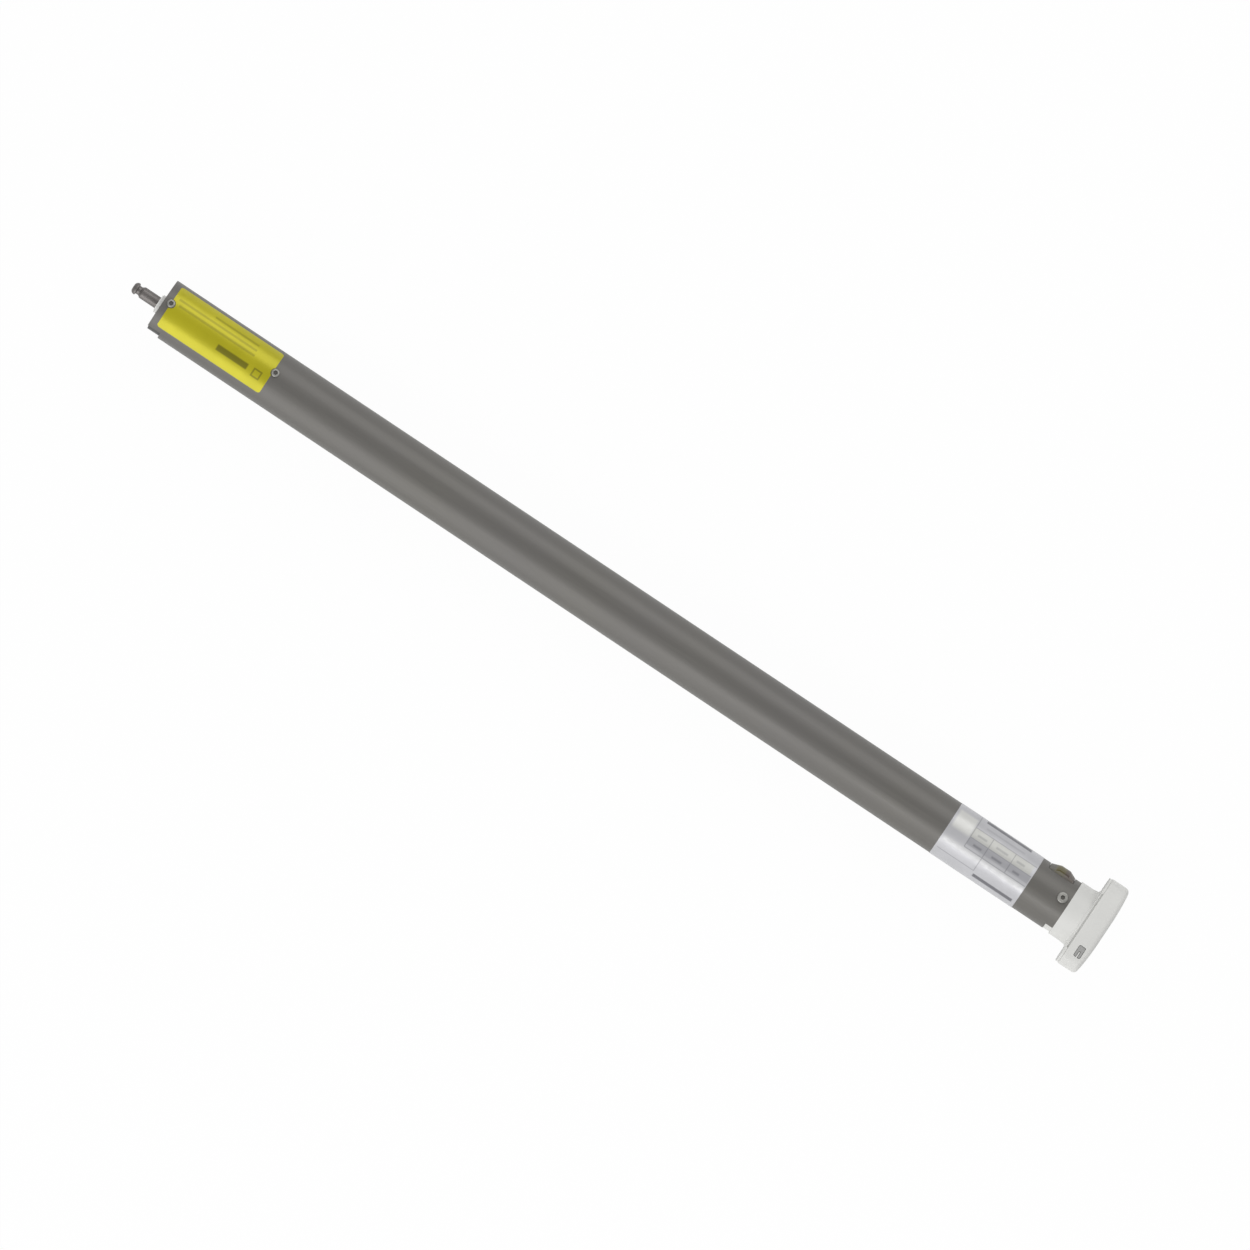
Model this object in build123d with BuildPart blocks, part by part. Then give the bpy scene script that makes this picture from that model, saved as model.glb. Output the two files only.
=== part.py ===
from build123d import *
from math import acos, asin, cos, pi, radians, sin, sqrt, tan
import os

# The motor lies along X. The origin is the middle of the head's outer face, +X points out of the head,
# +Y is the side of the crown latch and +Z the side of the button.

# Tube
tube_diameter = 28.0
tube_wall = 1.1
tube_length = 515.5
notch_width = 16.0
shaft_notch_length = 7.0
head_notch_length = 3.9

# Fits
plug_gap = 0.1
screw_gap = 0.05
running_gap = 0.03
slide_gap = 0.3
overrun = 1.0

# Head plate
head_height = 47.5
head_width = 31.2
head_corner = 6.0
head_edge = 2.4
cover_depth = 11.0
cover_wall = 1.8
land_length = 12.0
land_drop = 1.5
flange_depth = 1.1
flange_step = 0.4
seam_slot_length = 30.4
seam_slot_width = 0.7
seam_slot_depth = 1.0
seam_round = 0.8

# Neck and spigot
neck_length = 10.0
neck_diameter = 29.2
neck_swell = 0.35
neck_straight_share = 0.55
flare_radius = 0.8
spigot_length = 24.0
spigot_bore = 11.0
key_drop = 0.3

# Cover screws and bracket inserts
cover_screw_spacing_share = 0.4
cover_screw_shank = 2.2
cover_screw_head = 4.2
cover_screw_head_depth = 1.5
cover_screw_sink = 0.6
cover_screw_reach = 17.0
cover_post_wall = 1.3
bracket_edge_gap = 5.75
insert_diameter = 4.6
insert_bore = 2.5
insert_length = 5.0
insert_boss_wall = 1.2
insert_sink = 1.3
insert_floor = 1.5

# Button and its switch
button_length = 5.7
button_width = 3.3
button_corner = 0.6
button_slot_length = 3.0
button_slot_width = 1.0
button_edge_gap = 10.0
button_middle_x = -5.15
button_sink = 0.25
button_gap = 0.2
button_rim = 0.6
button_rim_depth = 0.7
button_travel = 0.5
switch_length = 6.0
switch_width = 3.5
switch_height = 3.4
plunger_length = 3.0
plunger_width = 1.4
plunger_height = 1.0

# Head board, charging socket and status light
board_thickness = 1.2
head_board_x = -9.2
head_board_edge = 0.6
socket_length = 9.0
socket_width = 3.2
socket_height = 7.3
socket_wall = 0.35
socket_middle_share = 0.2
socket_sink = 0.4
socket_gap = 0.2
tongue_length = 6.6
tongue_width = 0.8
tongue_sink = 0.9
light_diameter = 2.0
light_middle_y = -2.0
light_length = 6.5

# Screws round the tube
tube_screw_head = 5.4
gear_screw_head = 4.0
tube_screw_head_height = 0.9
tube_screw_round_share = 0.7
tube_screw_shank = 2.6
tube_screw_length = 5.0
tube_screw_recess = 2.4
tube_screw_recess_depth = 0.6
tube_screw_angle = 77.0
cap_screw_place = 3.7
mount_screw_place = 63.1
spigot_screw_place = 4.0

# Crown latch
latch_width = 16.0
latch_rise = 1.7
latch_start_place = 17.0
latch_top_start_place = 12.2
latch_top_end_place = 7.3
latch_end_place = 3.6
latch_ledge = 1.6
latch_ledge_drop = 0.1
latch_floor = 9.6
latch_travel = 1.8
latch_stop_gap = 0.9
latch_plate_thickness = 0.6
latch_plate_reach = 1.4
spring_thickness = 0.3
spring_width = 9.0
spring_foot = 2.0
spring_gap = 0.1

# Labels
label_thickness = 0.12
label_lift = 0.02
yellow_start = 3.6
yellow_length = 58.3
yellow_middle_angle = 78.7
yellow_sweep_angle = 104.4
yellow_corner = 1.5
rating_gap = 21.4
rating_length = 46.9
rating_middle_angle = 90.0
rating_sweep_angle = 230.0
rating_corner = 1.0

# Output shaft and its bush
shaft_diameter = 6.0
journal_diameter = 6.8
shaft_reach = 16.0
shaft_nose = 1.5
shaft_nose_radius_share = 0.4
shaft_nose_middle_share = 0.3
shaft_nose_swell_share = 0.78
shaft_knob = 2.3
shaft_groove_start = 2.7
shaft_groove_end = 4.0
shaft_groove_depth = 0.85
shaft_full_place = 5.2
shaft_flat_depth = 0.5
bush_diameter = 9.5
bush_reach = 2.0
bush_chamfer = 0.5

# End cap
cap_sink = 0.4
cap_length = 7.6
cap_dish_inner = 6.2
cap_dish_rim = 1.6
cap_dish_depth = 1.2

# Gears, in three equal planet stages
sun_teeth = 12
ring_teeth = 42
planet_count = 3
first_planet_angle = 90.0
stage_count = 3
pressure_angle = 25.0
addendum_share = 0.8
dedendum_share = 1.0
flank_thinning = 0.03
flank_steps = 3
ring_wall = 1.8
gear_width = 8.0
gear_gap = 0.4
carrier_thickness = 3.0
carrier_gap = 0.3
pin_diameter = 2.5
bearing_length = 8.0
bearing_wall = 2.2
hub_length = 4.0
hub_diameter = 12.0
hub_gap = 0.6
ring_end_gap = 0.8

# Motor
mount_length = 12.0
mount_bore = 11.0
mount_screw_radius = 8.4
mount_screw_shank = 2.4
mount_screw_head = 4.4
mount_screw_head_depth = 1.8
mount_screw_bite = 0.9
can_gap = 0.7
can_wall = 0.6
can_front = 1.2
can_length = 38.0
magnet_thickness = 2.0
magnet_sweep_angle = 140.0
magnet_end_gap = 6.0
air_gap = 0.4
rotor_start_gap = 8.0
rotor_length = 20.0
rotor_poles = 5
rotor_hub = 4.0
rotor_arm = 2.6
rotor_shoe = 1.2
rotor_shoe_sweep_angle = 58.0
winding_gap = 0.2
winding_overhang = 2.0
motor_shaft_diameter = 2.3
motor_bush_diameter = 6.0
motor_bush_length = 2.6
commutator_diameter = 6.4
commutator_length = 4.0
commutator_gap = 1.0
brush_width = 2.4
brush_length = 4.0
brush_gap = 0.1
holder_wall = 0.8
bell_length = 6.0
bell_rim = 1.5
bell_rim_depth = 1.6
damper_width = 3.0
encoder_gap = 0.6
encoder_magnet_diameter = 8.0
encoder_magnet_length = 3.0
encoder_board_gap = 1.2
encoder_post = 3.0
encoder_post_radius = 9.0
encoder_chip = 3.0
encoder_chip_height = 0.6

# Battery
cell_diameter = 18.5
cell_length = 65.0
cell_count = 3
cell_gap = 0.15
link_thickness = 0.5
link_diameter = 12.0
tray_wall = 3.0
tray_cut = 3.5
tray_gap = 0.5
wire_diameter = 1.4
wire_spacing = 2.0
wire_middle_y = 2.6
wire_depth = 1.5
wire_rise_z = -2.6
wire_bend = 3.0
wire_gap = 0.3
plug_length = 5.0

# Control board
board_tray_wall = 1.6
board_tray_end = 3.0
board_margin = 0.3
board_rest = 0.5
main_board_thickness = 1.6
main_board_z = -1.6
motor_wire_y = 6.0
motor_wire_z = -5.2
motor_wire_run = 8.0
motor_wire_bend = 1.5

tube_radius = tube_diameter / 2
bore_radius = tube_radius - tube_wall
plug_radius = bore_radius - plug_gap

# Places on the head plate
bracket_spacing = head_height - 2 * bracket_edge_gap
cover_screw_spacing = head_height * cover_screw_spacing_share
button_middle_y = -(head_height / 2 - button_edge_gap)
socket_middle_y = head_height * socket_middle_share

# Stations along the axis, from the head's outer face towards the shaft
seam_x = -cover_depth
flange_x = seam_x - flange_depth
tube_head_x = flange_x - neck_length
tube_shaft_x = tube_head_x - tube_length
spigot_x = tube_head_x - spigot_length


def axis_plane(x, y=0, z=0, turn=0):
    """A plane square to the motor's axis, its first direction turned from +Y towards +Z."""
    return Plane(origin=(x, y, z), x_dir=(0, cos(radians(turn)), sin(radians(turn))), z_dir=(1, 0, 0))


def radial_plane(x, angle, radius):
    """A plane that touches a circle round the axis, facing outwards."""
    out = (0, cos(radians(angle)), sin(radians(angle)))
    return Plane(origin=(x, radius * out[1], radius * out[2]), x_dir=(1, 0, 0), z_dir=out)


def round_bar(start, end, radius, y=0, z=0, mode=Mode.ADD):
    """A round bar along the axis between two stations."""
    with BuildSketch(axis_plane(start, y, z)) as profile:
        Circle(radius)
    extrude(profile.sketch, amount=end - start, mode=mode)


def sleeve(start, end, outer, inner):
    """A round tube along the axis between two stations."""
    with BuildSketch(axis_plane(start)) as profile:
        Circle(outer)
        Circle(inner, mode=Mode.SUBTRACT)
    extrude(profile.sketch, amount=end - start)


def radial_bar(x, angle, low, high, radius, mode=Mode.ADD):
    """A round bar that points away from the axis, between two distances from it."""
    with BuildSketch(radial_plane(x, angle, low)) as profile:
        Circle(radius)
    extrude(profile.sketch, amount=high - low, mode=mode)


def block(low, high, mode=Mode.ADD):
    """A square block between its lowest and highest corners."""
    middle = [(a + b) / 2 for a, b in zip(low, high)]
    with Locations(tuple(middle)):
        Box(*[b - a for a, b in zip(low, high)], mode=mode)


def plate(start, end, height, width, corner, mode=Mode.ADD):
    """A slice of the head plate's rounded outline between two stations."""
    with BuildSketch(axis_plane(start)) as profile:
        RectangleRounded(height, width, corner)
    extrude(profile.sketch, amount=end - start, mode=mode)


def wrap(start, end, inner, outer, middle, sweep, mode=Mode.ADD):
    """Part of a sleeve, centred on an angle."""
    with BuildSketch(axis_plane(start)) as profile:
        with BuildLine():
            far = CenterArc((0, 0), outer, middle - sweep / 2, sweep)
            near = CenterArc((0, 0), inner, middle - sweep / 2, sweep)
            Line(far @ 0, near @ 0)
            Line(far @ 1, near @ 1)
        make_face()
    extrude(profile.sketch, amount=end - start, mode=mode)


def tube_screw_spots():
    """The stations of the screw pairs, and the angles of the two screws of a pair."""
    stations = (
        tube_shaft_x + cap_screw_place,
        tube_shaft_x + mount_screw_place,
        tube_head_x - spigot_screw_place,
    )
    return [(x, angle) for x in stations for angle in (tube_screw_angle, tube_screw_angle + 180)]


def screw_head_radius(x):
    """The screws of the end cap and the motor mount have smaller heads than those of the spigot."""
    return (gear_screw_head if x < -tube_length / 2 else tube_screw_head) / 2


def tube_screw_holes(low):
    """Cuts the holes of the tube's screws from a distance from the axis outwards."""
    for x, angle in tube_screw_spots():
        hole = tube_screw_shank / 2 + screw_gap
        radial_bar(x, angle, low, tube_radius + overrun, hole, mode=Mode.SUBTRACT)


pieces = []


def keep(builder, name):
    """Labels a finished piece and puts it with the others."""
    builder.part.label = name
    pieces.append(builder.part)


# Crown latch: stations of its hump
latch_start_x = tube_head_x - latch_start_place
latch_top_start_x = tube_head_x - latch_top_start_place
latch_top_end_x = tube_head_x - latch_top_end_place
latch_end_x = tube_head_x - latch_end_place
latch_half = latch_width / 2
latch_top = tube_radius + latch_rise
latch_ledge_top = bore_radius - latch_ledge_drop
latch_pocket_floor = latch_floor - latch_travel - latch_stop_gap


def hump_profile(drop):
    """Outline of the hump above the tube's axis, lowered by a given depth."""
    return [
        (latch_start_x, 0),
        (latch_start_x, tube_radius - drop),
        (latch_top_start_x, latch_top - drop),
        (latch_top_end_x, latch_top - drop),
        (latch_end_x, tube_radius - drop),
        (latch_end_x, 0),
    ]


with BuildPart() as housing_tube:
    sleeve(tube_shaft_x, tube_head_x, tube_radius, bore_radius)
    half_notch = notch_width / 2
    notches = (
        (tube_shaft_x - overrun, tube_shaft_x + shaft_notch_length),
        (tube_head_x - head_notch_length, tube_head_x + overrun),
    )
    for notch_start, notch_end in notches:
        block(
            (notch_start, -tube_radius - overrun, -half_notch),
            (notch_end, 0, half_notch),
            mode=Mode.SUBTRACT,
        )
    block(
        (latch_start_x - slide_gap, 0, -latch_half - slide_gap),
        (latch_end_x + slide_gap, tube_radius + overrun, latch_half + slide_gap),
        mode=Mode.SUBTRACT,
    )
    tube_screw_holes(0)
keep(housing_tube, "housing_tube")

# Labels are thin wraps on the tube, cut clear of the screw heads
label_radius = tube_radius + label_lift


def label(start, length, middle, sweep, corner):
    """A thin wrap on the tube with rounded corners."""
    with BuildPart() as film:
        wrap(start, start + length, label_radius, label_radius + label_thickness, middle, sweep)
        fillet(film.edges().filter_by(lambda edge: edge.length < 2 * label_thickness), corner)
        for x, angle in tube_screw_spots():
            clear = screw_head_radius(x) + slide_gap
            radial_bar(x, angle, bore_radius, tube_radius + overrun, clear, mode=Mode.SUBTRACT)
    return film


yellow_label = label(
    tube_shaft_x + yellow_start, yellow_length, yellow_middle_angle, yellow_sweep_angle, yellow_corner
)
keep(yellow_label, "yellow_label")
rating_start_x = tube_head_x - rating_gap - rating_length
rating_label = label(rating_start_x, rating_length, rating_middle_angle, rating_sweep_angle, rating_corner)
keep(rating_label, "rating_label")

# Three pairs of screws hold the end cap, the motor mount and the spigot in the tube
with BuildPart() as tube_screws:
    for x, angle in tube_screw_spots():
        radial_bar(x, angle, tube_radius - tube_screw_length, tube_radius, tube_screw_shank / 2)
        radial_bar(x, angle, tube_radius, tube_radius + tube_screw_head_height, screw_head_radius(x))
    outer_rims = [
        edge
        for edge in tube_screws.edges().filter_by(GeomType.CIRCLE)
        if sqrt(edge.arc_center.Y**2 + edge.arc_center.Z**2) > tube_radius + tube_screw_head_height / 2
    ]
    fillet(outer_rims, tube_screw_head_height * tube_screw_round_share)
    for x, angle in tube_screw_spots():
        top = tube_radius + tube_screw_head_height
        with BuildSketch(radial_plane(x, angle, top - tube_screw_recess_depth)):
            RegularPolygon(tube_screw_recess / 2, 6)
        extrude(amount=tube_screw_recess_depth + overrun, mode=Mode.SUBTRACT)
keep(tube_screws, "tube_screws")

# Head body: spigot in the tube, neck, and the inner flange of the head plate with a slot at each
# flat side for prising the cover off
neck_radius = neck_diameter / 2
neck_end_radius = neck_radius + neck_swell
neck_straight_x = tube_head_x + neck_length * neck_straight_share
flange_height = head_height - 2 * flange_step
flange_width = head_width - 2 * flange_step
wire_radius = wire_diameter / 2
wire_z = -(plug_radius - wire_depth)
wire_ys = (wire_middle_y - wire_spacing / 2, wire_middle_y + wire_spacing / 2)
wire_slot_low = wire_ys[0] - wire_radius - wire_gap
wire_slot_high = wire_ys[1] + wire_radius + wire_gap
wire_turn_x = tube_head_x - wire_bend * 3
wire_up_x = tube_head_x - wire_bend
cover_screw_ys = (-cover_screw_spacing / 2, cover_screw_spacing / 2)

with BuildPart() as head_body:
    with BuildSketch(Plane.XY):
        with BuildLine():
            Polyline(
                (spigot_x, 0),
                (spigot_x, plug_radius),
                (tube_head_x, plug_radius),
                (tube_head_x, neck_radius),
                (neck_straight_x, neck_radius),
                (flange_x - flare_radius, neck_end_radius),
            )
            flare = RadiusArc(
                (flange_x - flare_radius, neck_end_radius),
                (flange_x, neck_end_radius + flare_radius),
                flare_radius,
            )
            Polyline(flare @ 1, (flange_x, head_height), (seam_x, head_height), (seam_x, 0), (spigot_x, 0))
        make_face()
    revolve(axis=Axis.X)
    with BuildSketch(axis_plane(spigot_x)):
        RectangleRounded(flange_height, flange_width, head_corner - flange_step)
    extrude(amount=seam_x - spigot_x, mode=Mode.INTERSECT)
    slot_side = head_width / 2
    slot_floor = slot_side - flange_step - seam_slot_depth
    for slot_low_z, slot_high_z in ((-slot_side, -slot_floor), (slot_floor, slot_side)):
        block(
            (seam_x - seam_slot_width, -seam_slot_length / 2, slot_low_z),
            (seam_x, seam_slot_length / 2, slot_high_z),
            mode=Mode.SUBTRACT,
        )
    key_half = notch_width / 2 - plug_gap
    with BuildSketch(axis_plane(tube_head_x - head_notch_length + plug_gap)):
        Circle(tube_radius - key_drop)
        with Locations((-tube_radius, 0)):
            Rectangle(tube_diameter, 2 * key_half, mode=Mode.INTERSECT)
    extrude(amount=head_notch_length - plug_gap)
    round_bar(spigot_x, seam_x, spigot_bore / 2, mode=Mode.SUBTRACT)
    pocket_half = latch_half + slide_gap
    block(
        (latch_start_x - latch_ledge - slide_gap, latch_pocket_floor, -pocket_half),
        (latch_end_x + latch_ledge + slide_gap, tube_radius, pocket_half),
        mode=Mode.SUBTRACT,
    )
    block(
        (spigot_x, wire_slot_low, -plug_radius - overrun),
        (wire_up_x + wire_radius, wire_slot_high, wire_z + wire_radius + wire_gap),
        mode=Mode.SUBTRACT,
    )
    block(
        (wire_turn_x - wire_bend, wire_slot_low, wire_z),
        (wire_up_x + wire_radius, wire_slot_high, 0),
        mode=Mode.SUBTRACT,
    )
    for x, angle in tube_screw_spots():
        if x > spigot_x:
            low = tube_radius - tube_screw_length - screw_gap
            radial_bar(x, angle, low, tube_radius, tube_screw_shank / 2 + screw_gap, mode=Mode.SUBTRACT)
    for y in cover_screw_ys:
        screw_hole = cover_screw_shank / 2 + screw_gap
        round_bar(-cover_screw_reach - screw_gap, seam_x, screw_hole, y=y, mode=Mode.SUBTRACT)
keep(head_body, "head_body")

# Head cover: a shell with a slightly crowned outer face
cover_inner_x = -(cover_wall + land_drop)
post_radius = cover_screw_shank / 2 + cover_post_wall
boss_radius = insert_diameter / 2 + insert_boss_wall
bracket_ys = (-bracket_spacing / 2, bracket_spacing / 2)
insert_top_x = -insert_sink
side_z = head_width / 2
inner_side_z = side_z - cover_wall
socket_middle_x = head_board_x + board_thickness + socket_width / 2

with BuildPart() as head_cover:
    plate(seam_x, 0, head_height, head_width, head_corner)
    with BuildSketch(Plane.XY):
        with BuildLine():
            crown = TangentArc(
                (0, land_length / 2), (-land_drop, head_height / 2 + overrun), tangent=(0, 1)
            )
            Polyline(crown @ 1, (overrun, (crown @ 1).Y), (overrun, land_length / 2), crown @ 0)
        make_face()
        mirror(about=Plane.XZ)
    extrude(amount=head_width, both=True, mode=Mode.SUBTRACT)
    rim = [
        edge
        for edge in head_cover.edges()
        if edge.center().X > -land_drop - flange_step
        and abs(abs(edge.center().Y) - land_length / 2) > flange_step
    ]
    fillet(rim, head_edge)
    fillet(head_cover.faces().sort_by(Axis.X)[0].outer_wire().edges(), seam_round)
    plate(
        seam_x,
        cover_inner_x,
        head_height - 2 * cover_wall,
        head_width - 2 * cover_wall,
        head_corner - cover_wall,
        mode=Mode.SUBTRACT,
    )
    for y in cover_screw_ys:
        round_bar(seam_x, cover_inner_x, post_radius, y=y)
    for y in bracket_ys:
        round_bar(insert_top_x - insert_length - insert_floor, cover_inner_x, boss_radius, y=y)
        round_bar(insert_top_x, overrun, boss_radius, y=y, mode=Mode.SUBTRACT)
        round_bar(insert_top_x - insert_length, insert_top_x, insert_diameter / 2, y=y, mode=Mode.SUBTRACT)
    for y in cover_screw_ys:
        round_bar(seam_x, 0, cover_screw_shank / 2 + screw_gap, y=y, mode=Mode.SUBTRACT)
        seat_x = -cover_screw_sink - cover_screw_head_depth
        round_bar(seat_x, overrun, cover_screw_head / 2 + screw_gap * 2, y=y, mode=Mode.SUBTRACT)
    with BuildSketch(Plane.XY.offset(inner_side_z - overrun)):
        with Locations((button_middle_x, button_middle_y)):
            RectangleRounded(
                button_width + 2 * button_gap, button_length + 2 * button_gap, button_corner + button_gap
            )
        rib_low = button_middle_y - button_length / 2 - 2 * button_gap
        rib_high = button_middle_y - button_length / 2 + button_slot_length - button_gap
        with Locations((button_middle_x, (rib_low + rib_high) / 2)):
            Rectangle(button_slot_width - 2 * button_gap, rib_high - rib_low, mode=Mode.SUBTRACT)
    extrude(amount=cover_wall + 2 * overrun, mode=Mode.SUBTRACT)
    with BuildSketch(Plane.XY.offset(-side_z - overrun)):
        with Locations((socket_middle_x, socket_middle_y)):
            slot_round = (socket_width + 2 * socket_gap) / 2
            SlotOverall(socket_length + 2 * socket_gap, 2 * slot_round, rotation=90)
        with Locations((socket_middle_x, light_middle_y)):
            Circle(light_diameter / 2 + screw_gap)
    extrude(amount=cover_wall + 2 * overrun, mode=Mode.SUBTRACT)
keep(head_cover, "head_cover")

with BuildPart() as cover_screws:
    for y in cover_screw_ys:
        round_bar(-cover_screw_reach, seat_x, cover_screw_shank / 2, y=y)
        round_bar(seat_x, -cover_screw_sink, cover_screw_head / 2, y=y)
        with BuildSketch(axis_plane(-cover_screw_sink - cover_screw_head_depth / 2, y)):
            RegularPolygon(cover_screw_shank / 2, 6)
        extrude(amount=cover_screw_head_depth, mode=Mode.SUBTRACT)
keep(cover_screws, "cover_screws")

with BuildPart() as bracket_inserts:
    for y in bracket_ys:
        round_bar(insert_top_x - insert_length, insert_top_x, insert_diameter / 2, y=y)
        round_bar(insert_top_x - insert_length, insert_top_x, insert_bore / 2, y=y, mode=Mode.SUBTRACT)
keep(bracket_inserts, "bracket_inserts")

# Button: a cap with a slot, and a rim inside the wall that keeps it in
button_top_z = side_z - button_sink
rim_top_z = inner_side_z - button_gap
rim_low_z = rim_top_z - button_rim_depth
plunger_top_z = rim_low_z
switch_top_z = plunger_top_z - plunger_height
switch_low_z = switch_top_z - switch_height
board_front_x = head_board_x + board_thickness
switch_middle_x = board_front_x + switch_width / 2

with BuildPart() as prog_button:
    with BuildSketch(Plane.XY.offset(rim_top_z)):
        with Locations((button_middle_x, button_middle_y)):
            RectangleRounded(button_width, button_length, button_corner)
        with Locations((button_middle_x, button_middle_y - (button_length - button_slot_length) / 2)):
            Rectangle(button_slot_width, button_slot_length, mode=Mode.SUBTRACT)
    extrude(amount=button_top_z - rim_top_z)
    rim_x_high = cover_inner_x - button_gap
    rim_x_low = button_middle_x - button_width / 2 - button_rim
    rim_half = button_length / 2 + button_rim
    block(
        (rim_x_low, button_middle_y - rim_half, rim_low_z),
        (rim_x_high, button_middle_y + rim_half, rim_top_z),
    )
keep(prog_button, "prog_button")

with BuildPart() as switch_plunger:
    block(
        (switch_middle_x - plunger_width / 2, button_middle_y - plunger_length / 2, switch_top_z),
        (switch_middle_x + plunger_width / 2, button_middle_y + plunger_length / 2, plunger_top_z),
    )
keep(switch_plunger, "switch_plunger")

# The switch has a well for the plunger's travel
with BuildPart() as tact_switch:
    block(
        (board_front_x, button_middle_y - switch_length / 2, switch_low_z),
        (board_front_x + switch_width, button_middle_y + switch_length / 2, switch_top_z),
    )
    block(
        (
            switch_middle_x - plunger_width / 2 - button_gap,
            button_middle_y - plunger_length / 2 - button_gap,
            switch_top_z - button_travel - button_gap,
        ),
        (
            switch_middle_x + plunger_width / 2 + button_gap,
            button_middle_y + plunger_length / 2 + button_gap,
            switch_top_z,
        ),
        mode=Mode.SUBTRACT,
    )
keep(tact_switch, "tact_switch")

with BuildPart() as head_board:
    board_height = head_height - 2 * cover_wall - 2 * head_board_edge
    board_width = head_width - 2 * cover_wall - 2 * head_board_edge
    board_corner = head_corner - cover_wall - head_board_edge
    plate(head_board_x, board_front_x, board_height, board_width, board_corner)
    for y in cover_screw_ys:
        round_bar(head_board_x, board_front_x, post_radius + plug_gap, y=y, mode=Mode.SUBTRACT)
keep(head_board, "head_board")

# Charging socket: a rounded metal shell with a tongue, open on the side away from the button
socket_mouth_z = -side_z + socket_sink
socket_back_z = socket_mouth_z + socket_height
with BuildPart() as charge_socket:
    with BuildSketch(Plane.XY.offset(socket_mouth_z)):
        with Locations((socket_middle_x, socket_middle_y)):
            SlotOverall(socket_length, socket_width, rotation=90)
            SlotOverall(
                socket_length - 2 * socket_wall,
                socket_width - 2 * socket_wall,
                rotation=90,
                mode=Mode.SUBTRACT,
            )
    extrude(amount=socket_height)
    with BuildSketch(Plane.XY.offset(socket_back_z - socket_wall)):
        with Locations((socket_middle_x, socket_middle_y)):
            SlotOverall(socket_length, socket_width, rotation=90)
    extrude(amount=socket_wall)
keep(charge_socket, "charge_socket")

with BuildPart() as socket_tongue:
    tongue_low_x = socket_middle_x - tongue_width / 2
    tongue_low_y = socket_middle_y - tongue_length / 2
    block(
        (tongue_low_x, tongue_low_y, socket_mouth_z + tongue_sink),
        (tongue_low_x + tongue_width, tongue_low_y + tongue_length, socket_back_z - socket_wall),
    )
keep(socket_tongue, "socket_tongue")

with BuildPart() as status_light:
    with BuildSketch(Plane.XY.offset(-side_z)):
        with Locations((socket_middle_x, light_middle_y)):
            Circle(light_diameter / 2)
    extrude(amount=light_length)
    light_foot_low = -side_z + light_length - light_diameter
    block(
        (board_front_x, light_middle_y - light_diameter / 2, light_foot_low),
        (socket_middle_x, light_middle_y + light_diameter / 2, -side_z + light_length),
    )
keep(status_light, "status_light")

# Crown latch: a hump that stands through the tube's window, on a wider foot under the tube's wall
with BuildPart() as latch_plate:
    with BuildSketch(Plane.XY):
        with BuildLine():
            Polyline(*hump_profile(0), close=True)
        make_face()
        with BuildLine():
            Polyline(*hump_profile(latch_plate_thickness), close=True)
        make_face(mode=Mode.SUBTRACT)
    revolve(axis=Axis.X)
    block(
        (latch_top_start_x - latch_plate_reach, 0, -latch_half),
        (latch_top_end_x + latch_plate_reach / 2, latch_top + overrun, latch_half),
        mode=Mode.INTERSECT,
    )
keep(latch_plate, "latch_plate")

with BuildPart() as crown_latch:
    with BuildSketch(Plane.XY):
        with BuildLine():
            Polyline(*hump_profile(0), close=True)
        make_face()
        with BuildLine():
            Polyline(
                (latch_start_x - latch_ledge, 0),
                (latch_start_x - latch_ledge, latch_ledge_top),
                (latch_end_x + latch_ledge, latch_ledge_top),
                (latch_end_x + latch_ledge, 0),
                close=True,
            )
        make_face()
    revolve(axis=Axis.X)
    block(
        (latch_start_x - latch_ledge, latch_floor, -latch_half),
        (latch_end_x + latch_ledge, latch_top + overrun, latch_half),
        mode=Mode.INTERSECT,
    )
    add(latch_plate.part, mode=Mode.SUBTRACT)
keep(crown_latch, "crown_latch")

# Leaf spring: a bowed strip whose feet stand on the pocket's floor
spring_start_x = latch_start_x - latch_ledge + overrun
spring_end_x = latch_end_x + latch_ledge - overrun
spring_middle_x = (spring_start_x + spring_end_x) / 2
spring_low = latch_pocket_floor + spring_gap
spring_high = latch_floor - spring_gap
with BuildPart() as latch_spring:
    with BuildSketch(Plane.XY.offset(-spring_width / 2)):
        with BuildLine():
            upper = ThreePointArc(
                (spring_start_x + spring_foot, spring_low + spring_thickness),
                (spring_middle_x, spring_high),
                (spring_end_x - spring_foot, spring_low + spring_thickness),
            )
            Line(upper @ 1, (spring_end_x, spring_low + spring_thickness))
            Line((spring_end_x, spring_low + spring_thickness), (spring_end_x, spring_low))
            Line((spring_end_x, spring_low), (spring_end_x - spring_foot, spring_low))
            lower = ThreePointArc(
                (spring_end_x - spring_foot, spring_low),
                (spring_middle_x, spring_high - spring_thickness),
                (spring_start_x + spring_foot, spring_low),
            )
            Line(lower @ 1, (spring_start_x, spring_low))
            Line((spring_start_x, spring_low), (spring_start_x, spring_low + spring_thickness))
            Line((spring_start_x, spring_low + spring_thickness), upper @ 0)
        make_face()
    extrude(amount=spring_width)
keep(latch_spring, "latch_spring")

# Battery: a tray with a channel for the leads, three cells end to end, and the contacts between them
tray_end_x = spigot_x - tray_gap
cells_end_x = tray_end_x - tray_wall
pitch = cell_length + link_thickness
cells_start_x = cells_end_x - cell_count * pitch - link_thickness
tray_start_x = cells_start_x - tray_wall
cell_radius = cell_diameter / 2
tray_bore = cell_radius + cell_gap

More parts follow.
